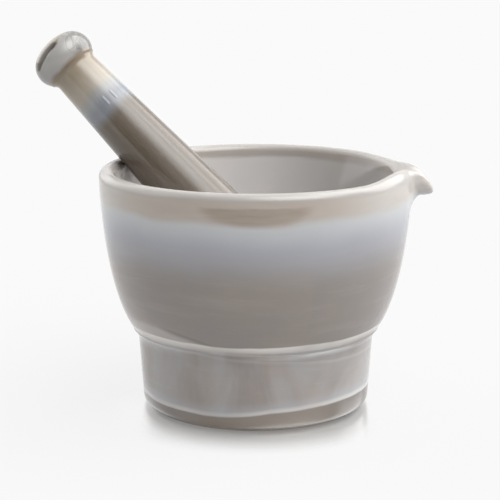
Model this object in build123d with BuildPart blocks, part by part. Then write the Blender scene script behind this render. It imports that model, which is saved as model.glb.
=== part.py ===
from build123d import *
import os
from math import acos, asin, atan2, cos, hypot, radians, sin, sqrt, tan

# Pressed-glass mortar and pestle. Millimetres, +Z up, origin at the centre of the mortar's base.
# The spout points along +X. The pestle leans in the bowl, with its knob up and to the -X side.

# ---- mortar: driving dimensions ----
RIM_RADIUS = 65.0          # outside of the lip
RIM_HEIGHT = 100.0         # top of the lip above the table
LIP_RADIUS = 3.2           # the lip is a full round
BASE_RADIUS = 47.5         # foot, where its wall would meet the table
BASE_EDGE_RADIUS = 4.0     # rounded bottom edge of the foot
WAIST_RADIUS = 49.6        # foot and bowl meet here
WAIST_HEIGHT = 31.0
WAIST_FILLET = 9.0
BOWL_FLARE = 13.3          # the bowl swells out of the waist at 45 degrees, over this run
BOWL_UPRIGHT = 6.4         # stretch under the lip where the bowl's outside stands upright
BOWL_RADIUS = 50.0         # spherical grinding surface
BOWL_FLOOR = 14.0          # thickness of the glass under the bowl

# ---- spout: a beak that droops from the lip, with a pouring channel ----
SPOUT_ROOT = 61.0          # start of the beak, inside the wall
SPOUT_REACH = 73.3         # tip of the beak from the mortar's axis
SPOUT_TOP = 99.6           # top of the beak at its root, just under the lip's crest
SPOUT_CROWN = 6.8          # level run of the top before it droops
SPOUT_DROOP = 5.0          # steep run of the top above the tip
SPOUT_HOOK = 1.2           # how far that steep run leans outwards
SPOUT_TIP_HEIGHT = 91.5
SPOUT_NOSE_DEPTH = 2.6     # the nose turns under by this much below the tip
SPOUT_NOSE_RETURN = 3.4    # and comes back by this much
SPOUT_UNDERSIDE = 88.0     # underside of the beak at the wall
SPOUT_HALF_WIDTH = 14.0    # at the root
SPOUT_SHOULDER = (3.5, 2.0)   # the sides leave the root this far out and this far in
SPOUT_CHEEK = 4.0          # straight run of each side before the nose
SPOUT_NOSE = 4.2           # radius of the nose seen from above
SPOUT_NOSE_TURN = radians(55)
SPOUT_EDGE = 1.8           # rounding of the beak's outside edges
CHANNEL_RADIUS = 6.5
CHANNEL_FLOOR = 95.6       # bottom of the channel under the lip's outside
CHANNEL_SLOPE = radians(14)
CHANNEL_START = 20.0       # the cut starts this far inside the lip, in the open bowl
CHANNEL_LENGTH = 40.0

# ---- pestle, measured along its axis from the top of the knob ----
PESTLE_LENGTH = 175.0
KNOB_RADIUS = 13.5
KNOB_SIDE_RADIUS = 8.0     # rounding of the knob's side
KNOB_CROWN_RADIUS = 22.0   # flatter crown of the knob
NECK_RADIUS = 10.0         # narrowest, under the knob
NECK_AT = 15.0
NECK_FILLET = 3.0
TAPER = 0.0493             # radius gained per millimetre, from the neck to the head

# ---- how the pestle rests ----
LEAN = radians(43.4)       # its axis above the horizontal
HEADING = radians(-19.2)   # the way its head points, seen from above, from +X
GAP = 0.3                  # clearance to the lip and to the bowl

# ---- derived: the inside wall is tangent to the lip's round and to the bowl's sphere ----
lip_r = RIM_RADIUS - LIP_RADIUS
lip_z = RIM_HEIGHT - LIP_RADIUS
bowl_z = BOWL_FLOOR + BOWL_RADIUS
centres = hypot(lip_r, lip_z - bowl_z)
wall_tilt = acos((BOWL_RADIUS + LIP_RADIUS) / centres) - atan2(lip_z - bowl_z, lip_r)
wall_low = (BOWL_RADIUS * cos(wall_tilt), bowl_z - BOWL_RADIUS * sin(wall_tilt))
wall_high = (lip_r - LIP_RADIUS * cos(wall_tilt), lip_z + LIP_RADIUS * sin(wall_tilt))
bowl_side = (BOWL_RADIUS * sin(radians(40)), bowl_z - BOWL_RADIUS * cos(radians(40)))

# ---- derived: seen from above, the beak's sides run tangent into its round nose ----
nose_start = (
    SPOUT_REACH - SPOUT_NOSE * (1 - cos(SPOUT_NOSE_TURN)),
    -SPOUT_NOSE * sin(SPOUT_NOSE_TURN),
)
cheek_start = (
    nose_start[0] - SPOUT_CHEEK * sin(SPOUT_NOSE_TURN),
    nose_start[1] - SPOUT_CHEEK * cos(SPOUT_NOSE_TURN),
)

# ---- derived: the pestle's half-section (r, height above the head's centre) ----
# The conical shaft is tangent to the spherical head; the knob's side is tangent to its crown.
half_cone = asin(TAPER / sqrt(1 + TAPER**2))
head_radius = (NECK_RADIUS + TAPER * (PESTLE_LENGTH - NECK_AT)) / (1 / cos(half_cone) + TAPER)
knob_top = PESTLE_LENGTH - head_radius
side_r = KNOB_RADIUS - KNOB_SIDE_RADIUS
crown_reach = KNOB_CROWN_RADIUS - KNOB_SIDE_RADIUS
crown_turn = asin(side_r / crown_reach)
side_z = knob_top - KNOB_CROWN_RADIUS + crown_reach * cos(crown_turn)
crown_edge = (
    side_r + KNOB_SIDE_RADIUS * sin(crown_turn),
    side_z + KNOB_SIDE_RADIUS * cos(crown_turn),
)
crown_middle = (
    KNOB_CROWN_RADIUS * sin(crown_turn / 2),
    knob_top - KNOB_CROWN_RADIUS * (1 - cos(crown_turn / 2)),
)
neck = (NECK_RADIUS, side_z - sqrt(KNOB_SIDE_RADIUS**2 - (NECK_RADIUS - side_r)**2))
head_edge = (head_radius * cos(half_cone), head_radius * sin(half_cone))
head_side = (head_radius * cos(radians(45)), -head_radius * sin(radians(45)))

# ---- derived: the head's centre, from the pestle's two contacts ----
# In the upright plane of the lean, (u, z): u runs from the mortar's axis the way the head points.
# The lip that carries the shaft is at u = -lip_r. The shaft's lower side is a line that touches
# the head's circle and clears the lip's circle, and the head's circle clears the bowl's.
down = (-sin(LEAN + half_cone), -cos(LEAN + half_cone))
shaft_offset = -lip_r * down[0] + (lip_z - bowl_z) * down[1] - (head_radius + LIP_RADIUS + GAP)
bowl_offset = sqrt((BOWL_RADIUS - head_radius - GAP)**2 - shaft_offset**2)
head_u = shaft_offset * down[0] - bowl_offset * down[1]
head_z = bowl_z + shaft_offset * down[1] + bowl_offset * down[0]
head_centre = Vector(head_u * cos(HEADING), head_u * sin(HEADING), head_z)
pestle_up = Vector(-cos(LEAN) * cos(HEADING), -cos(LEAN) * sin(HEADING), sin(LEAN))
pestle_side = Vector(-sin(HEADING), cos(HEADING), 0)

os.makedirs("parts", exist_ok=True)

# ---- the beak's solid: its side view, cut to its plan view ----
with BuildPart() as beak:
    with BuildSketch(Plane.XZ):
        with BuildLine():
            crown = Bezier(
                (SPOUT_ROOT, SPOUT_TOP),
                (SPOUT_ROOT + SPOUT_CROWN, SPOUT_TOP),
                (SPOUT_REACH - SPOUT_HOOK, SPOUT_TIP_HEIGHT + SPOUT_DROOP),
                (SPOUT_REACH, SPOUT_TIP_HEIGHT),
            )
            under_nose = (SPOUT_REACH - SPOUT_NOSE_RETURN, SPOUT_TIP_HEIGHT - SPOUT_NOSE_DEPTH)
            TangentArc(crown @ 1, under_nose, tangent=crown % 1)
            Polyline(
                under_nose,
                (RIM_RADIUS - 1, SPOUT_UNDERSIDE),
                (SPOUT_ROOT, SPOUT_UNDERSIDE - 3),
                (SPOUT_ROOT, SPOUT_TOP),
            )
        make_face()
    extrude(amount=SPOUT_HALF_WIDTH + 2, both=True)
    with BuildSketch(Plane.XY.offset(SPOUT_UNDERSIDE - 8)):
        with BuildLine():
            side = Bezier(
                (SPOUT_ROOT, -SPOUT_HALF_WIDTH),
                (SPOUT_ROOT + SPOUT_SHOULDER[0], -SPOUT_HALF_WIDTH + SPOUT_SHOULDER[1]),
                cheek_start,
                nose_start,
            )
            mirror(side, about=Plane.XZ)
            ThreePointArc(nose_start, (SPOUT_REACH, 0), (nose_start[0], -nose_start[1]))
            Line((SPOUT_ROOT, -SPOUT_HALF_WIDTH), (SPOUT_ROOT, SPOUT_HALF_WIDTH))
        make_face()
    extrude(amount=RIM_HEIGHT, mode=Mode.INTERSECT)
    free_edges = beak.edges().filter_by(
        lambda edge: edge.center().X > SPOUT_ROOT + 0.5 and abs(edge.center().Y) > 0.5
    )
    fillet(free_edges, SPOUT_EDGE)

# ---- mortar ----
with BuildPart() as mortar:
    # Foot, bowl and lip: one closed half-section, turned about the axis
    with BuildSketch(Plane.XZ) as section:
        with BuildLine():
            Polyline((0, BOWL_FLOOR), (0, 0), (BASE_RADIUS, 0), (WAIST_RADIUS, WAIST_HEIGHT))
            Bezier(
                (WAIST_RADIUS, WAIST_HEIGHT),
                (WAIST_RADIUS + BOWL_FLARE, WAIST_HEIGHT + BOWL_FLARE),
                (RIM_RADIUS, lip_z - BOWL_UPRIGHT),
                (RIM_RADIUS, lip_z),
            )
            ThreePointArc((RIM_RADIUS, lip_z), (lip_r, RIM_HEIGHT), wall_high)
            Line(wall_high, wall_low)
            ThreePointArc(wall_low, bowl_side, (0, BOWL_FLOOR))
        make_face()
        waist = section.vertices().sort_by_distance((WAIST_RADIUS, WAIST_HEIGHT))[0]
        fillet(waist, WAIST_FILLET)
        base_corner = section.vertices().sort_by_distance((BASE_RADIUS, 0))[0]
        fillet(base_corner, BASE_EDGE_RADIUS)
    revolve(axis=Axis.Z)
    add(beak.part)

    # Pouring channel: a round groove that falls from the bowl to the beak's tip
    channel_centre = (
        RIM_RADIUS - CHANNEL_START,
        0,
        CHANNEL_FLOOR + CHANNEL_RADIUS + CHANNEL_START * tan(CHANNEL_SLOPE),
    )
    with BuildSketch(Plane(channel_centre, z_dir=(cos(CHANNEL_SLOPE), 0, -sin(CHANNEL_SLOPE)))):
        Circle(CHANNEL_RADIUS)
    extrude(amount=CHANNEL_LENGTH, mode=Mode.SUBTRACT)
mortar.part.label = "mortar"

# ---- pestle: knob, neck, shaft and head, one half-section turned about the leaning axis ----
with BuildPart() as pestle:
    lean_plane = Plane(head_centre, x_dir=pestle_side, z_dir=pestle_side.cross(pestle_up))
    with BuildSketch(lean_plane) as half_section:
        with BuildLine():
            ThreePointArc((0, knob_top), crown_middle, crown_edge)
            ThreePointArc(crown_edge, (KNOB_RADIUS, side_z), neck)
            Line(neck, head_edge)
            ThreePointArc(head_edge, head_side, (0, -head_radius))
            Line((0, -head_radius), (0, knob_top))
        make_face()
        fillet(half_section.vertices().sort_by_distance(neck)[0], NECK_FILLET)
    revolve(axis=Axis(head_centre, pestle_up))
pestle.part.label = "pestle"

# ---- output ----
export_step(mortar.part, "parts/mortar.step")
export_step(pestle.part, "parts/pestle.step")
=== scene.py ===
from math import acos, atan2, cos, degrees, hypot, pi, radians, sin, sqrt

import bpy
from mathutils import Matrix, Vector


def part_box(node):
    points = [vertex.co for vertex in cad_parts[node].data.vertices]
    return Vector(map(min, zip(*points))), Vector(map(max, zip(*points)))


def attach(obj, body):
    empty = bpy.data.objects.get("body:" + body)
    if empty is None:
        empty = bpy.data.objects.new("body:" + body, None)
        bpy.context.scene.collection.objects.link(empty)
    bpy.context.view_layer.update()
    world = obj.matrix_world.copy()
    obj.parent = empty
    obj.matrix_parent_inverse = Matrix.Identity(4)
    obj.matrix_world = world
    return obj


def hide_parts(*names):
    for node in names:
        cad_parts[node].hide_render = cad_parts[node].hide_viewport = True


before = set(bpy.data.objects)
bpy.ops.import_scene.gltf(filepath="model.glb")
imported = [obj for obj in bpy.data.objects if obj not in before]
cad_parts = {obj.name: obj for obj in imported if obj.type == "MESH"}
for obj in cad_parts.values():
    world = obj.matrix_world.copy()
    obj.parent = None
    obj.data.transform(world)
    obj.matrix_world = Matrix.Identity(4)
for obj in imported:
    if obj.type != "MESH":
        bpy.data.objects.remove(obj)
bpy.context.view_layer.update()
scene = bpy.context.scene

MM = 0.001

# ---------------------------------------------------------------------------
# Driving dimensions, in millimetres. The overall ones are read from the frame.
# ---------------------------------------------------------------------------
mortar_low, mortar_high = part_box("mortar")
pestle_low, pestle_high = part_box("pestle")

RIM_RADIUS = mortar_high.y / MM
RIM_HEIGHT = mortar_high.z / MM
SPOUT_REACH = mortar_high.x / MM
LIP_RADIUS = 3.2
BASE_RADIUS = 47.5
BASE_EDGE = 4.0
WAIST_RADIUS = 49.6
WAIST_HEIGHT = 31.0
WAIST_FILLET = 9.0
BOWL_FLARE = 13.3
BOWL_UPRIGHT = 6.4
BOWL_RADIUS = 50.0
BOWL_FLOOR = 14.0

PESTLE_LENGTH = 175.0
HEAD_RADIUS = 17.0
KNOB_RADIUS = 13.5
KNOB_SIDE = 8.0
KNOB_CROWN = 22.0
NECK_RADIUS = 10.0
NECK_FILLET = 3.4
TAPER = 0.0493
LEAN = radians(43.4)
HEADING = radians(-19.2)


# ---------------------------------------------------------------------------
# Small helpers
# ---------------------------------------------------------------------------
def smooth(x, low, high):
    """0 below low, 1 above high, and an S-curve between them."""
    t = min(1.0, max(0.0, (x - low) / (high - low)))
    return t * t * (3 - 2 * t)


def bezier(points, steps):
    """Points of a cubic Bezier, its start left out."""
    a, b, c, d = (Vector(p) for p in points)
    made = []
    for i in range(1, steps + 1):
        t = i / steps
        u = 1 - t
        made.append(tuple(a * u**3 + b * (3 * u * u * t) + c * (3 * u * t * t) + d * t**3))
    return made


def arc(centre, radius, start, end, steps):
    """Points of an arc between two angles in degrees, its start left out."""
    made = []
    for i in range(1, steps + 1):
        a = radians(start + (end - start) * i / steps)
        made.append((centre[0] + radius * cos(a), centre[1] + radius * sin(a)))
    return made


def straight(start, end, steps):
    """Points of a straight line, its start left out."""
    return [
        (start[0] + (end[0] - start[0]) * i / steps, start[1] + (end[1] - start[1]) * i / steps)
        for i in range(1, steps + 1)
    ]


def rounded(before, corner, after, radius, steps):
    """A corner of an outline as a round of that radius: its points, first tangent point included."""
    c = Vector(corner)
    d0 = (Vector(before) - c).normalized()
    d1 = (Vector(after) - c).normalized()
    half = acos(max(-1, min(1, d0.dot(d1)))) / 2
    run = radius / (sin(half) / cos(half))
    centre = c + (d0 + d1).normalized() * (radius / sin(half))
    p0, p1 = c + d0 * run, c + d1 * run
    a0 = atan2(p0.y - centre.y, p0.x - centre.x)
    a1 = atan2(p1.y - centre.y, p1.x - centre.x)
    turn = (a1 - a0 + pi) % (2 * pi) - pi
    return [
        (centre.x + radius * cos(a0 + turn * i / steps), centre.y + radius * sin(a0 + turn * i / steps))
        for i in range(steps + 1)
    ]


def lathe(name, outline, angles, place):
    """A closed solid turned about Z. The outline starts and ends on the axis; place moves each point."""
    rows = outline[1:-1]
    verts = [place(0.0, outline[0][1], 0.0)]
    for r, z in rows:
        verts += [place(r, z, a) for a in angles]
    verts.append(place(0.0, outline[-1][1], 0.0))
    n, faces = len(angles), []
    for j in range(n):
        k = (j + 1) % n
        faces.append((0, 1 + j, 1 + k))
        for i in range(len(rows) - 1):
            a, b = 1 + i * n, 1 + (i + 1) * n
            faces.append((a + j, b + j, b + k, a + k))
        last = 1 + (len(rows) - 1) * n
        faces.append((last + j, len(verts) - 1, last + k))
    mesh = bpy.data.meshes.new(name)
    mesh.from_pydata([tuple(c * MM for c in v) for v in verts], [], faces)
    mesh.polygons.foreach_set("use_smooth", [True] * len(mesh.polygons))
    mesh.update()
    piece = bpy.data.objects.new(name, mesh)
    scene.collection.objects.link(piece)
    return piece


# ---------------------------------------------------------------------------
# Mortar
# ---------------------------------------------------------------------------
lip_r = RIM_RADIUS - LIP_RADIUS
lip_z = RIM_HEIGHT - LIP_RADIUS
bowl_z = BOWL_FLOOR + BOWL_RADIUS
lip_above = lip_z - bowl_z
wall_tilt = acos((BOWL_RADIUS + LIP_RADIUS) / hypot(lip_r, lip_above)) - atan2(lip_above, lip_r)
wall_high = (lip_r - LIP_RADIUS * cos(wall_tilt), lip_z + LIP_RADIUS * sin(wall_tilt))
CLEAR_OF_FILLET = 0.4             # gap kept between the bowl's curve and the waist's fillet
BASE_MIDDLE = 1.5                 # radius of the smallest ring of the flat base


def mortar_outline():
    """Half-section (r, z): down the bowl's middle, up its wall, over the lip, down the outside."""
    points = [(0.0, BOWL_FLOOR)]
    points += arc((0, bowl_z), BOWL_RADIUS, -90, -degrees(wall_tilt), 26)
    points += straight(points[-1], wall_high, 34)
    points += arc((lip_r, lip_z), LIP_RADIUS, 180 - degrees(wall_tilt), 0, 26)
    outside = bezier(
        [
            (RIM_RADIUS, lip_z),
            (RIM_RADIUS, lip_z - BOWL_UPRIGHT),
            (WAIST_RADIUS + BOWL_FLARE, WAIST_HEIGHT + BOWL_FLARE),
            (WAIST_RADIUS, WAIST_HEIGHT),
        ],
        64,
    )
    foot_low = (BASE_RADIUS, 0.0)
    corner = (WAIST_RADIUS, WAIST_HEIGHT)
    flare = (WAIST_RADIUS + BOWL_FLARE, WAIST_HEIGHT + BOWL_FLARE)
    waist = rounded(flare, corner, foot_low, WAIST_FILLET, 10)
    points += [p for p in outside if p[1] > waist[0][1] + CLEAR_OF_FILLET]
    points += waist
    base = rounded(corner, foot_low, (0.0, 0.0), BASE_EDGE, 8)
    points += straight(waist[-1], base[0], 20)
    points += base[1:]
    points += straight(base[-1], (BASE_MIDDLE, 0.0), 12)
    points.append((0.0, 0.0))
    return points


SPOUT_SPREAD = radians(16)        # half-angle over which the lip is drawn out
SPOUT_INSIDE = 90.0               # the bowl's wall starts to be drawn out at this height
SPOUT_OUTSIDE = 82.5              # and the outside wall at this one
SPOUT_CREST = (SPOUT_REACH - 1.3, 92.7)   # crest of the lip at the spout's middle
CREST_SHARE = 0.58                # where the crest is along the section, from 0 inside to 1 outside
UNDERSIDE = (0.60, 0.80)          # the nose turns under between these shares
SHOULDER_SPREAD = radians(48)     # half-angle over which the lip rises or dips beside the spout
SHOULDER_NEAR = 1.9               # how much it rises in front
SHOULDER_FAR = -0.5               # and dips behind
SHOULDER_ROWS = (3, 14)           # rows from the crest over which that fades
FINE_TURN = radians(0.55)         # spacing of the mesh across the spout
FINE_LIMIT = radians(22)
COARSE_TURNS = 210                # steps round the rest

outline = mortar_outline()
crest_row = max(range(len(outline)), key=lambda i: outline[i][1])
inner_row = min(range(crest_row), key=lambda i: abs(outline[i][1] - SPOUT_INSIDE))
outer_row = min(range(crest_row, len(outline)), key=lambda i: abs(outline[i][1] - SPOUT_OUTSIDE))


def nose_outline(t):
    """The lip's section through the spout's middle, with t from 0 at the bowl's wall to 1 outside."""
    stations = [
        (0.00, *outline[inner_row]),
        (0.14, 58.7, 93.9),
        (0.28, 61.4, 95.4),
        (0.43, 66.8, 94.5),
        (CREST_SHARE, *SPOUT_CREST),
        (0.64, SPOUT_REACH + 0.55, 90.9),
        (0.69, SPOUT_REACH + 0.1, 89.0),
        (0.75, SPOUT_REACH - 2.6, 88.3),
        (0.83, 67.8, 88.0),
        (0.91, 65.8, 85.9),
        (1.00, *outline[outer_row]),
    ]
    i = max(k for k in range(len(stations) - 1) if t >= stations[k][0])
    a, b = stations[i], stations[i + 1]
    before = stations[i - 1] if i else a
    after = stations[i + 2] if i + 2 < len(stations) else b
    u = (t - a[0]) / (b[0] - a[0])
    point = []
    for k in (1, 2):
        m0 = (b[k] - before[k]) / (b[0] - before[0]) * (b[0] - a[0])
        m1 = (after[k] - a[k]) / (after[0] - a[0]) * (b[0] - a[0])
        point.append(
            (2 * u**3 - 3 * u**2 + 1) * a[k]
            + (u**3 - 2 * u**2 + u) * m0
            + (3 * u**2 - 2 * u**3) * b[k]
            + (u**3 - u**2) * m1
        )
    return point


def lip_shares():
    """For each outline row that the spout draws out, how far along the nose's section it goes."""
    share = {}
    for i in range(inner_row, crest_row + 1):
        share[i] = CREST_SHARE * (i - inner_row) / (crest_row - inner_row)
    for i in range(crest_row, outer_row + 1):
        share[i] = CREST_SHARE + (1 - CREST_SHARE) * (i - crest_row) / (outer_row - crest_row)
    return share


lip_share = lip_shares()
row_of = {point: i for i, point in enumerate(outline)}


def mortar_point(r, z, a):
    """A point of the lathed outline, drawn out into the spout near +X."""
    angle = (a + pi) % (2 * pi) - pi
    row = row_of[(r, z)]
    if row in lip_share and abs(angle) < SHOULDER_SPREAD:
        nose_r, nose_z = nose_outline(lip_share[row])
        pull = cos(pi / 2 * angle / SPOUT_SPREAD) ** 2 if abs(angle) < SPOUT_SPREAD else 0.0
        drop = pull**2.6 if nose_z < z else pull
        under = smooth(lip_share[row], *UNDERSIDE)
        drop = drop * (1 - under) + pull**1.2 * under
        near_crest = 1 - smooth(abs(row - crest_row), *SHOULDER_ROWS)
        rise = SHOULDER_NEAR if angle < 0 else SHOULDER_FAR
        shoulder = sin(pi * abs(angle) / SHOULDER_SPREAD) ** 2 * rise
        z += shoulder * near_crest * (1 - pull)
        r += (nose_r - r) * pull
        z += (nose_z - z) * drop
    return (r * cos(a), r * sin(a), z)


def mortar_angles():
    """Turning angles: fine across the spout, wider elsewhere."""
    wide = 2 * FINE_LIMIT
    count = round(wide / FINE_TURN)
    angles = [-FINE_LIMIT + wide * i / count for i in range(count + 1)]
    angles += [FINE_LIMIT + (2 * pi - wide) * i / COARSE_TURNS for i in range(1, COARSE_TURNS)]
    return angles


mortar = lathe("mortar_glass_body", outline, mortar_angles(), mortar_point)
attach(mortar, "mortar")
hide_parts("mortar")

# ---------------------------------------------------------------------------
# Pestle: made upright about its head's centre, then leaned into its CAD place
# ---------------------------------------------------------------------------
knob_top = PESTLE_LENGTH - HEAD_RADIUS
side_r = KNOB_RADIUS - KNOB_SIDE
crown_reach = KNOB_CROWN - KNOB_SIDE
crown_turn = degrees(atan2(side_r, sqrt(crown_reach**2 - side_r**2)))
side_z = knob_top - KNOB_CROWN + sqrt(crown_reach**2 - side_r**2)
half_cone = degrees(atan2(TAPER, 1))


def pestle_outline():
    """Half-section from the head's bottom to the knob's top."""
    points = [(0.0, -HEAD_RADIUS)]
    points += arc((0, 0), HEAD_RADIUS, -90, half_cone, 30)
    neck = (NECK_RADIUS, side_z - sqrt(KNOB_SIDE**2 - (NECK_RADIUS - side_r) ** 2))
    tangent = (neck[0] - (neck[1] - side_z) / KNOB_SIDE, neck[1] + (neck[0] - side_r) / KNOB_SIDE)
    fillet = rounded(points[-1], neck, tangent, NECK_FILLET, 10)
    points += straight(points[-1], fillet[0], 250)
    points += fillet[1:]
    start = degrees(atan2(fillet[-1][1] - side_z, fillet[-1][0] - side_r))
    points += arc((side_r, side_z), KNOB_SIDE, start, 90 - crown_turn, 26)
    points += arc((0, knob_top - KNOB_CROWN), KNOB_CROWN, 90 - crown_turn, 90, 14)
    return points


BAR_AZIMUTHS = (-64.0, -41.0, -18.0)   # the three raised bars round the shaft, in degrees
BAR_MIDDLE = 121.2                      # their middle, above the head's centre
BAR_LENGTH = 4.6
BAR_WIDTH = 0.9
BAR_RELIEF = 0.15


def pestle_point(r, z, a):
    """A point of the lathed pestle, with three short raised bars on the shaft."""
    lift = 0.0
    if abs(z - BAR_MIDDLE) < BAR_LENGTH:
        half_long, half_wide = BAR_LENGTH / 2, BAR_WIDTH / 2
        along = 1 - smooth(abs(z - BAR_MIDDLE), half_long - 0.35, half_long + 0.2)
        for azimuth in BAR_AZIMUTHS:
            off = abs((a - radians(azimuth) + pi) % (2 * pi) - pi) * r
            across = 1 - smooth(off, half_wide - 0.3, half_wide + 0.3)
            lift = max(lift, BAR_RELIEF * along * across)
    return ((r + lift) * cos(a), (r + lift) * sin(a), z)


up = Vector((-cos(LEAN) * cos(HEADING), -cos(LEAN) * sin(HEADING), sin(LEAN)))
side = Vector((-sin(HEADING), cos(HEADING), 0.0))
head_centre = Vector((pestle_high.x, pestle_low.y, pestle_low.z)) / MM
head_centre += Vector((-HEAD_RADIUS, HEAD_RADIUS, HEAD_RADIUS))
pestle_frame = Matrix((side.cross(up), side, up)).transposed().to_4x4()
pestle_frame.translation = head_centre


def pestle_place(r, z, a):
    """A point of the pestle, moved from its own upright frame to where it leans."""
    return tuple(pestle_frame @ Vector(pestle_point(r, z, a)))


PESTLE_TURNS = 300
pestle_angles = [2 * pi * i / PESTLE_TURNS for i in range(PESTLE_TURNS)]
pestle = lathe("pestle_glass_body", pestle_outline(), pestle_angles, pestle_place)
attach(pestle, "pestle")
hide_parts("pestle")


# ---------------------------------------------------------------------------
# Node helpers
# ---------------------------------------------------------------------------
class Nodes:
    """A short way to write a material's node tree."""

    def __init__(self, name):
        self.material = bpy.data.materials.new(name)
        self.material.use_nodes = True
        self.tree = self.material.node_tree
        self.tree.nodes.clear()

    def add(self, kind, inputs=(), **settings):
        node = self.tree.nodes.new(kind)
        for key, value in settings.items():
            setattr(node, key, value)
        for key, value in dict(inputs).items():
            self.plug(value, node.inputs[key])
        return node

    def plug(self, value, socket):
        if isinstance(value, bpy.types.NodeSocket):
            self.tree.links.new(value, socket)
        elif value is not None:
            socket.default_value = value

    def math(self, operation, a, b=None):
        node = self.add("ShaderNodeMath", operation=operation)
        for value, socket in zip((a, b), node.inputs):
            self.plug(value, socket)
        return node.outputs[0]

    def plus(self, a, b):
        return self.math("ADD", a, b)

    def minus(self, a, b):
        return self.math("SUBTRACT", a, b)

    def times(self, a, b):
        return self.math("MULTIPLY", a, b)

    def step(self, value, low, high, start=0.0, end=1.0):
        """value mapped smoothly from low..high to start..end."""
        node = self.add(
            "ShaderNodeMapRange",
            {"Value": value, "From Min": low, "From Max": high, "To Min": start, "To Max": end},
            interpolation_type="SMOOTHSTEP",
        )
        return node.outputs["Result"]

    def bump_curve(self, value, centre, width):
        """1 at centre, falling smoothly to 0 at width either side."""
        away = self.math("ABSOLUTE", self.minus(value, centre))
        return self.step(away, 0.0, width, 1.0, 0.0)

    def noise(self, vector, scale, detail, roughness=0.5, distortion=0.0):
        inputs = {"Vector": vector, "Scale": scale, "Detail": detail}
        inputs |= {"Roughness": roughness, "Distortion": distortion}
        return self.add("ShaderNodeTexNoise", inputs).outputs["Fac"]

    def wander(self, vector, scale, reach):
        """A smooth value that wanders by up to about reach either side of 0."""
        return self.times(self.minus(self.noise(vector, scale, 3.0), 0.5), 2 * reach)

    def mix(self, factor, a, b):
        """Colour a where factor is 0, and b where it is 1."""
        node = self.add("ShaderNodeMix", data_type="RGBA", clamp_factor=True)
        self.plug(factor, node.inputs[0])
        self.plug(a, node.inputs[6])
        self.plug(b, node.inputs[7])
        return node.outputs[2]

    def all_of(self, first, *others):
        """The product of several masks."""
        for other in others:
            first = self.times(first, other)
        return first

    def line(self, value, above, below):
        """A wisp at value 0 that fades out within above on its upper side and below on its lower."""
        return self.math("MINIMUM", self.step(value, 0.0, above, 1.0, 0.0), self.step(value, -below, 0.0))

    def vector(self, x, y, z):
        return self.add("ShaderNodeCombineXYZ", {0: x, 1: y, 2: z}).outputs[0]


def srgb(r, g, b):
    """An 8-bit screen colour as linear RGBA."""
    linear = []
    for c in (r, g, b):
        c /= 255
        linear.append(c / 12.92 if c <= 0.04045 else ((c + 0.055) / 1.055) ** 2.4)
    return (*linear, 1.0)


# ---------------------------------------------------------------------------
# Materials. Heights are in millimetres, azimuths in degrees. The mortar's azimuth is 0 at
# the front, and rises towards the right.
# ---------------------------------------------------------------------------
GLASS_IOR = 1.52
GROUND_ROUGHER = 0.35             # what grinding adds to the roughness
GRAIN_SCALE = 2200.0
GRAIN_SHARE = 0.25


def polished_glass(n, colour, roughness, height, depth):
    """Fire-polished opaque glass: clear reflections over a colour that light enters a little."""
    bump = n.add("ShaderNodeBump", {"Height": height, "Strength": 1.0, "Distance": depth * MM})
    surface = {"Base Color": colour, "Roughness": roughness, "Normal": bump.outputs[0]}
    shader = n.add("ShaderNodeBsdfPrincipled", surface)
    shader.inputs["IOR"].default_value = GLASS_IOR
    shader.inputs["Subsurface Weight"].default_value = 0.2
    shader.inputs["Subsurface Radius"].default_value = (1.0, 0.95, 0.9)
    shader.inputs["Subsurface Scale"].default_value = 0.004
    n.add("ShaderNodeOutputMaterial", {"Surface": shader.outputs[0]})
    return n.material


def ground_grain(n, ground):
    """Fine grain for the bump, where the glass is ground matt."""
    return n.times(n.noise(n.place, GRAIN_SCALE, 2.0), n.times(ground, GRAIN_SHARE))


BLUE_BAND = (60.0, 83.0)          # the body turns blue-grey between these heights
PALE_BAND = (77.0, 89.0)          # and pales between these
TAUPE_BAND = (86.5, 90.5)         # start of the taupe band under the lip
LENS_FOOT = 86.0                  # lowest point of the brown lens
LENS_RISE = 5.0                   # how far its foot has risen
LENS_HALF = 21.0                  # at this azimuth
LENS_TOP = (94.3, 95.4)           # it ends between these heights
LIP_BAND = (95.6, 98.6)           # start of the pale lip
FOOT_TOP = (35.2, 37.2)           # end of the mottled foot
WAIST_WISP = 37.0                 # height of the wisp round the waist
BASE_WISP = (6.6, 9.6)            # height of the wisp near the base, left and right
BASE_WISP_SPAN = (-22.5 * MM, 27.0 * MM)   # X over which it climbs from one to the other
THREADS = ((3.2, 54.0, 0.28), (6.2, 90.0, 0.2))   # depth under it, slope in mm per metre, share
GROUND_BOWL = (34.0, 46.0)        # the bowl is ground matt below these heights
LIP_GREY = srgb(160, 156, 152)


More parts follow.
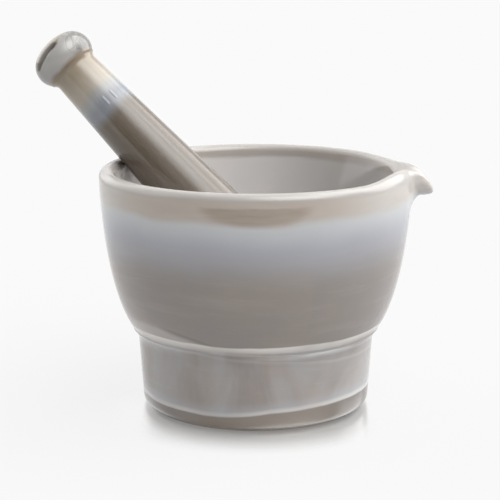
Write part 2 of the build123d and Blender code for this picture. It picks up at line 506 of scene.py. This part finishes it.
class MortarGlass(Nodes):
    """The mortar's node tree, with the places and noises that its bands share."""

    def __init__(self):
        super().__init__("mortar_slag_glass")
        self.place = self.add("ShaderNodeTexCoord").outputs["Object"]
        self.x, self.y, z = self.add("ShaderNodeSeparateXYZ", {0: self.place}).outputs
        self.height = self.times(z, 1 / MM)
        self.azimuth = self.times(self.math("ARCTAN2", self.x, self.times(self.y, -1.0)), 180 / pi)
        self.turned = self.math("ABSOLUTE", self.azimuth)
        self.around = self.vector(self.x, self.y, 0.0)
        self.layered = self.vector(self.x, self.y, self.times(z, 8.0))
        leaning = self.plus(self.times(z, 1.3), self.times(self.x, 0.9))
        self.tilted = self.vector(self.times(self.x, 2.6), self.times(self.y, 2.6), leaning)
        self.cloud = self.noise(self.place, 26.0, 4.0, 0.55, 0.6)
        self.streaks = self.noise(self.layered, 34.0, 5.0, 0.6, 0.5)
        self.rippled = self.plus(self.height, self.wander(self.layered, 60.0, 1.2))
        self.uneven = self.step(self.noise(self.place, 40.0, 2.0), 0.25, 0.6, 0.55, 1.0)

    def outside(self):
        """1 outside the bowl and 0 on the bowl's inner wall."""
        normal = self.add("ShaderNodeNewGeometry").outputs["True Normal"]
        radial = self.add("ShaderNodeVectorMath", {0: self.around}, operation="NORMALIZE").outputs[0]
        outward = self.add("ShaderNodeVectorMath", {0: normal, 1: radial}, operation="DOT_PRODUCT")
        return self.step(outward.outputs["Value"], -0.85, -0.35)


def bowl_wall(n):
    """Taupe body, a blue-grey band that pales upwards, a taupe band and a pale lip."""
    level = n.plus(n.height, n.wander(n.place, 18.0, 5.0))
    body = n.mix(n.step(n.cloud, 0.38, 0.66), srgb(130, 124, 120), srgb(134, 126, 119))
    body = n.mix(n.step(n.streaks, 0.45, 0.8, 0.0, 0.25), body, srgb(154, 149, 146))
    colour = n.mix(n.step(level, *BLUE_BAND), body, srgb(154, 156, 163))
    colour = n.mix(n.step(level, *PALE_BAND), colour, srgb(176, 177, 179))
    to_side = n.step(n.math("ABSOLUTE", n.plus(n.azimuth, 8.0)), 22, 62)
    taupe = n.mix(to_side, srgb(163, 153, 144), srgb(178, 173, 168))
    taupe = n.mix(n.step(n.streaks, 0.35, 0.7, 0.0, 0.5), taupe, srgb(171, 162, 153))
    colour = n.mix(n.step(level, *TAUPE_BAND), colour, taupe)
    colour = brown_lens(n, colour)
    return n.mix(n.step(n.rippled, *LIP_BAND), colour, LIP_GREY)


def brown_lens(n, colour):
    """A brown lens at the front of the taupe band, level on top and round below."""
    across = n.step(n.turned, 14, 22, 1.0, 0.0)
    under_lip = n.step(n.rippled, *LENS_TOP, 1.0, 0.0)
    ends = n.times(n.math("POWER", n.math("DIVIDE", n.azimuth, LENS_HALF), 2.0), LENS_RISE)
    rise = n.minus(n.height, n.plus(LENS_FOOT, ends))
    lens = n.all_of(across, under_lip, n.step(rise, 0.0, 3.8))
    brown = n.mix(n.step(n.streaks, 0.3, 0.7), srgb(140, 128, 116), srgb(151, 141, 130))
    return n.mix(lens, colour, brown)


def mottled_foot(n, colour):
    """Soft pinkish and bluish lights that lean a little."""
    mottle = n.noise(n.tilted, 11.0, 3.0, 0.5, 1.6)
    pink = n.noise(n.tilted, 20.0, 2.0, 0.5, 1.2)
    foot = n.mix(n.step(mottle, 0.34, 0.66), srgb(133, 126, 122), srgb(149, 146, 144))
    foot = n.mix(n.step(pink, 0.48, 0.75, 0.0, 0.5), foot, srgb(148, 134, 124))
    foot = n.mix(n.step(n.streaks, 0.5, 0.8, 0.0, 0.35), foot, srgb(154, 156, 160))
    return n.mix(n.step(n.height, *reversed(FOOT_TOP)), colour, foot)


def waist_wisp(n, colour):
    """A white wisp round the waist, a paler tongue above it on the left and thin threads under it."""
    wisp = n.minus(n.minus(n.height, WAIST_WISP), n.wander(n.around, 26.0, 1.6))
    tongue_top = n.math("MINIMUM", n.times(n.minus(-20.0, n.azimuth), 0.22), 5.5)
    over_tongue = n.minus(wisp, tongue_top)
    tongue = n.all_of(
        n.step(over_tongue, -1.8, 0.6, 1.0, 0.0),
        n.step(wisp, -0.5, 0.5),
        n.step(n.azimuth, -78, -60),
        n.step(n.azimuth, -32, -20, 1.0, 0.0),
    )
    colour = n.mix(n.times(tongue, 0.45), colour, srgb(178, 174, 171))
    stroke = n.all_of(
        n.bump_curve(over_tongue, 0.7, 1.1),
        n.step(n.azimuth, -46, -32),
        n.step(n.azimuth, -24, -14, 1.0, 0.0),
    )
    colour = n.mix(n.times(stroke, 0.5), colour, srgb(112, 104, 98))
    colour = n.mix(n.times(n.line(wisp, 0.7, 3.6), n.uneven), colour, srgb(198, 193, 188))
    for drop, slope, share in THREADS:
        thread = n.plus(n.plus(wisp, drop), n.times(n.x, slope))
        colour = n.mix(n.all_of(n.line(thread, 0.6, 1.6), n.uneven, share), colour, srgb(188, 186, 184))
    return colour


def base_wisp(n, colour):
    """A wisp near the base that climbs to the right, a bluish glow over it and a brown strip under it, with
    painted shade darkening the strip towards the sides.
    """
    base_line = n.plus(n.step(n.x, *BASE_WISP_SPAN, *BASE_WISP), n.wander(n.around, 40.0, 0.8))
    over = n.minus(n.height, base_line)
    brown = n.mix(n.cloud, srgb(118, 109, 100), srgb(128, 120, 112))
    # Painted shade: the strip darkens towards the left and right, standing in for the dim, shadowed floor
    # that the foot's rounded edge reflects there.
    brown = n.mix(n.step(n.turned, 20, 62), brown, srgb(100, 94, 89))
    colour = n.mix(n.step(over, -0.7, 0.2, 1.0, 0.0), colour, brown)
    glow = n.math("MINIMUM", n.step(over, 0.0, 6.5, 1.0, 0.0), n.step(over, -0.8, 0.4))
    colour = n.mix(n.times(glow, 0.42), colour, srgb(164, 168, 176))
    thin = n.math("MINIMUM", n.step(over, 0.4, 2.2, 1.0, 0.0), n.step(over, -0.7, 0.3))
    return n.mix(n.times(thin, n.times(n.uneven, 0.55)), colour, srgb(196, 192, 187))


def bowl_inside(n):
    """Pale grey, darker towards the spout, brownish just under the lip."""
    grey = n.mix(n.step(n.cloud, 0.35, 0.7), srgb(186, 183, 182), srgb(192, 187, 184))
    grey = n.mix(n.step(n.x, 0.0, 55.0 * MM, 0.0, 0.8), grey, srgb(164, 160, 157))
    inside = n.mix(n.step(n.rippled, 93.5, 96.0), grey, srgb(160, 153, 147))
    return n.mix(n.step(n.height, 98.0, 99.6), inside, LIP_GREY)


def mortar_material():
    """Taupe and blue-grey slag glass in level bands, with white wisps round the waist and the foot."""
    n = MortarGlass()
    colour = bowl_wall(n)
    for layer in (mottled_foot, waist_wisp, base_wisp):
        colour = layer(n, colour)
    outside = n.outside()
    colour = n.mix(outside, bowl_inside(n), colour)

    ground = n.step(n.times(n.minus(1.0, outside), n.step(n.height, *reversed(GROUND_BOWL))), 0.0, 1.0)
    roughness = n.plus(n.step(n.streaks, 0.3, 0.8, 0.06, 0.10), n.times(ground, GROUND_ROUGHER))
    roughness = n.plus(roughness, n.step(n.height, 95.0, 98.0, 0.0, 0.10))
    waves = n.noise(n.place, 55.0, 2.0)
    return polished_glass(n, colour, roughness, n.plus(waves, ground_grain(n, ground)), 0.06)


BELT_START = (113.5, 119.5)       # the dark shaft turns blue-grey between these heights
BELT_PALE = (121.0, 125.5)        # the belt pales
BELT_END = (125.0, 130.0)         # and turns beige
NECK_START = (141.0, 142.6)       # the brown of the neck starts
KNOB_START = (143.2, 145.0)       # and the knob's marbling
CRESCENT_HEIGHT = 152.6           # middle of the dark crescent
CRESCENT_AZIMUTH = -92.0          # the side of the knob that it is on
CRESCENT_CLIMB = 0.03             # how far it climbs per degree round the knob
GROUND_HEAD = (4.0, 12.0)         # the head is ground matt below these heights


class PestleGlass(Nodes):
    """The pestle's node tree, in the pestle's own upright frame."""

    def __init__(self):
        super().__init__("pestle_slag_glass")
        where = self.add("ShaderNodeTexCoord").outputs["Object"]
        mapping = self.add("ShaderNodeMapping", {"Vector": where}, vector_type="TEXTURE")
        mapping.inputs["Location"].default_value = head_centre * MM
        mapping.inputs["Rotation"].default_value = pestle_frame.to_euler()
        self.place = mapping.outputs[0]
        x, y, z = self.add("ShaderNodeSeparateXYZ", {0: self.place}).outputs
        self.height = self.times(z, 1 / MM)
        self.azimuth = self.times(self.math("ARCTAN2", y, x), 180 / pi)
        drawn = self.vector(self.times(x, 1.6), self.times(y, 1.6), self.times(z, 0.12))
        self.lines = self.noise(drawn, 210.0, 4.0, 0.6, 0.2)
        self.cloud = self.noise(self.place, 60.0, 4.0, 0.6, 0.7)
        self.uneven = self.plus(self.height, self.wander(self.place, 90.0, 1.6))


def shaft_colours(n):
    """Dark taupe with drawn-out lines, then a blue-grey belt, then beige."""
    level = n.plus(n.height, n.wander(n.place, 45.0, 4.0))
    dark = n.mix(n.step(n.lines, 0.35, 0.7), srgb(94, 85, 74), srgb(103, 95, 86))
    beige = n.mix(n.step(level, 129, 141), srgb(152, 144, 132), srgb(134, 122, 105))
    beige = n.mix(n.step(n.lines, 0.4, 0.75, 0.0, 0.4), beige, srgb(152, 144, 130))
    colour = n.mix(n.step(level, *BELT_START), dark, srgb(122, 125, 131))
    colour = n.mix(n.step(level, *BELT_PALE), colour, srgb(140, 141, 141))
    return n.mix(n.step(level, *BELT_END), colour, beige)


def rubbed_bars(n, colour):
    """The raised bars, rubbed a little paler than the belt."""
    along = n.step(n.math("ABSOLUTE", n.minus(n.height, BAR_MIDDLE)), 1.9, 2.5, 1.0, 0.0)
    for bar in BAR_AZIMUTHS:
        across = n.step(n.math("ABSOLUTE", n.minus(n.azimuth, bar)), 1.6, 3.4, 1.0, 0.0)
        colour = n.mix(n.times(n.times(across, along), 0.25), colour, srgb(172, 176, 184))
    return colour


def marbled_knob(n, colour):
    """Pale and darker grey swirls with thin veins, and brown glass at the neck."""
    swirl = n.noise(n.place, 36.0, 2.0, 0.5, 1.0)
    knob = n.mix(n.step(swirl, 0.32, 0.66), srgb(110, 108, 105), srgb(153, 151, 148))
    vein = n.bump_curve(n.noise(n.place, 48.0, 3.0, 0.5, 1.4), 0.5, 0.022)
    knob = n.mix(n.times(vein, 0.45), knob, srgb(96, 92, 87))
    neck = n.mix(n.cloud, srgb(112, 99, 84), srgb(138, 125, 108))
    colour = n.mix(n.step(n.uneven, *NECK_START), colour, neck)
    return n.mix(n.step(n.uneven, *KNOB_START), colour, knob)


def knob_crescent(n, colour):
    """Olive-tan past a dark brown crescent on one side of the crown."""
    facing = n.minus(n.azimuth, CRESCENT_AZIMUTH)
    turned = n.math("ABSOLUTE", facing)
    over = n.minus(n.minus(n.uneven, CRESCENT_HEIGHT), n.times(facing, CRESCENT_CLIMB))
    patch = n.all_of(n.step(n.height, 147.0, 149.0), n.step(turned, 52, 80, 1.0, 0.0))
    tan = n.mix(n.cloud, srgb(112, 101, 82), srgb(138, 131, 118))
    colour = n.mix(n.times(patch, n.step(over, -0.4, 0.6)), colour, tan)
    crescent = n.all_of(patch, n.bump_curve(over, 0.0, 2.6), n.step(turned, 20, 48, 1.0, 0.0))
    return n.mix(n.step(crescent, 0.15, 0.6), colour, srgb(70, 61, 51))


def pestle_material():
    """Marbled knob, beige neck, blue-grey belt, then dark taupe down to a ground-matt head."""
    n = PestleGlass()
    colour = shaft_colours(n)
    for layer in (rubbed_bars, marbled_knob, knob_crescent):
        colour = layer(n, colour)
    ground = n.step(n.height, *reversed(GROUND_HEAD))
    colour = n.mix(n.times(ground, 0.5), colour, srgb(150, 143, 136))
    roughness = n.plus(n.step(n.lines, 0.3, 0.8, 0.06, 0.10), n.times(ground, GROUND_ROUGHER))
    return polished_glass(n, colour, roughness, n.plus(n.lines, ground_grain(n, ground)), 0.03)


mortar.data.materials.append(mortar_material())
pestle.data.materials.append(pestle_material())

# ---------------------------------------------------------------------------
# Floor, lights, camera
# ---------------------------------------------------------------------------
FLOOR_SIZE = 14.0
FLOOR_DROP = 0.0001                # the floor lies this far under the base
PAPER = 0.915                      # how bright the white floor looks
OWN_GLOW = 0.9                     # share of that brightness that no cast shadow takes away
FLOOR_WHITE = 0.62                 # whiteness of the rest, which takes shadows
MIRROR = (43.0, 74.0)              # radii between which the floor's reflection of the foot fades
MIRROR_SHARE = 0.78                # the strongest reflection, in front of the foot


def floor_material():
    """White acrylic: mostly its own even white, with soft shadows and a reflection in front of the foot."""
    n = Nodes("white_floor")
    glow = n.add("ShaderNodeEmission", {"Color": (1, 1, 1, 1), "Strength": PAPER})
    matte = n.add("ShaderNodeBsdfDiffuse", {"Color": (FLOOR_WHITE, FLOOR_WHITE, FLOOR_WHITE, 1)})
    lit = n.add("ShaderNodeMixShader", {0: OWN_GLOW, 1: matte.outputs[0], 2: glow.outputs[0]})
    place = n.add("ShaderNodeTexCoord").outputs["Object"]
    away = n.add("ShaderNodeVectorMath", {0: place}, operation="LENGTH").outputs["Value"]
    behind = n.math("DIVIDE", n.add("ShaderNodeSeparateXYZ", {0: place}).outputs["Y"], away)
    shine = n.step(n.times(away, 1 / MM), *MIRROR, MIRROR_SHARE, 0.0)
    shine = n.times(shine, n.step(behind, -0.6, 0.2, 1.0, 0.3))
    mirror = n.add("ShaderNodeBsdfGlossy", {"Color": (0.94, 0.94, 0.94, 1), "Roughness": 0.2})
    both = n.add("ShaderNodeMixShader", {0: shine, 1: lit.outputs[0], 2: mirror.outputs[0]})
    n.add("ShaderNodeOutputMaterial", {"Surface": both.outputs[0]})
    return n.material


half = FLOOR_SIZE / 2
floor_mesh = bpy.data.meshes.new("floor")
corners = [(-half, -half, 0), (half, -half, 0), (half, half, 0), (-half, half, 0)]
floor_mesh.from_pydata(corners, [], [(0, 1, 2, 3)])
floor_mesh.materials.append(floor_material())
floor = bpy.data.objects.new("floor", floor_mesh)
floor.location.z = mortar_low.z - FLOOR_DROP
scene.collection.objects.link(floor)


class Sky(Nodes):
    """The studio round the object, as brightness by direction."""

    def __init__(self):
        self.world = bpy.data.worlds.new("studio")
        self.world.use_nodes = True
        self.tree = self.world.node_tree
        self.tree.nodes.clear()
        self.toward = self.add("ShaderNodeTexCoord").outputs["Generated"]

    def along(self, axis):
        node = self.add("ShaderNodeVectorMath", {0: self.toward, 1: axis}, operation="DOT_PRODUCT")
        return node.outputs["Value"]

    def softbox(self, azimuth, elevation, wide, high, strength, soft):
        """A bright rectangle. Azimuth is from the camera's side round to the right, in degrees."""
        a, e = radians(azimuth), radians(elevation)
        ahead = Vector((sin(a) * cos(e), -cos(a) * cos(e), sin(e)))
        right = Vector((cos(a), sin(a), 0.0))
        depth = self.math("MAXIMUM", self.along(ahead), 0.02)
        lit = strength
        for axis, size in ((right, wide), (right.cross(ahead), high)):
            half = sin(radians(size / 2)) / cos(radians(size / 2))
            off = self.math("ABSOLUTE", self.math("DIVIDE", self.along(axis), depth))
            edge = self.step(off, half - soft, half + soft, 1.0, 0.0)
            lit = self.times(edge, lit)
        return lit


SOFTBOXES = (
    # azimuth, elevation, width and height in degrees, strength, softness of the edges
    (46, 54, 44, 48, 6.3, 0.38),       # key, upper right
    (118, 36, 44, 62, 3.4, 0.12),      # rim light, right and behind
    (2, 34, 30, 30, 0.9, 0.30),        # front fill
    (0, 90, 40, 40, 0.8, 0.20),        # overhead
    (-112, 20, 84, 56, 1.5, 0.40),     # wide fill, left and behind
)


def studio():
    """White behind, dark behind the camera, and softboxes over both."""
    sky = Sky()
    total = sky.step(sky.along((0.25, 1.0, 0.0)), -0.25, 0.6, 0.08, 1.0)
    for box in SOFTBOXES:
        total = sky.plus(total, sky.softbox(*box))
    glow = sky.add("ShaderNodeBackground", {"Color": (1.0, 1.0, 1.0, 1.0), "Strength": total})
    sky.add("ShaderNodeOutputWorld", {"Surface": glow.outputs[0]})
    sky.world.cycles.sampling_method = "MANUAL"
    sky.world.cycles.sample_map_resolution = 1024
    return sky.world


scene.world = studio()
scene.view_settings.view_transform = "Standard"
scene.view_settings.look = "None"
scene.view_settings.exposure = 0.0
scene.view_settings.gamma = 1.0

# The camera stands ten rim radii in front of the mortar's axis, a little to its left
CAMERA_BACK = 0.650
CAMERA_UP = 0.2096
CAMERA_LEFT = 0.0024
CAMERA_PITCH = radians(12.58)
CAMERA_LENS = 114.2
camera_data = bpy.data.cameras.new("camera")
camera_data.sensor_width = 36.0
camera_data.lens = CAMERA_LENS
camera = bpy.data.objects.new("camera", camera_data)
camera.location = (-CAMERA_LEFT, -CAMERA_BACK, CAMERA_UP)
camera.rotation_euler = (pi / 2 - CAMERA_PITCH, 0.0, 0.0)
scene.collection.objects.link(camera)
scene.camera = camera
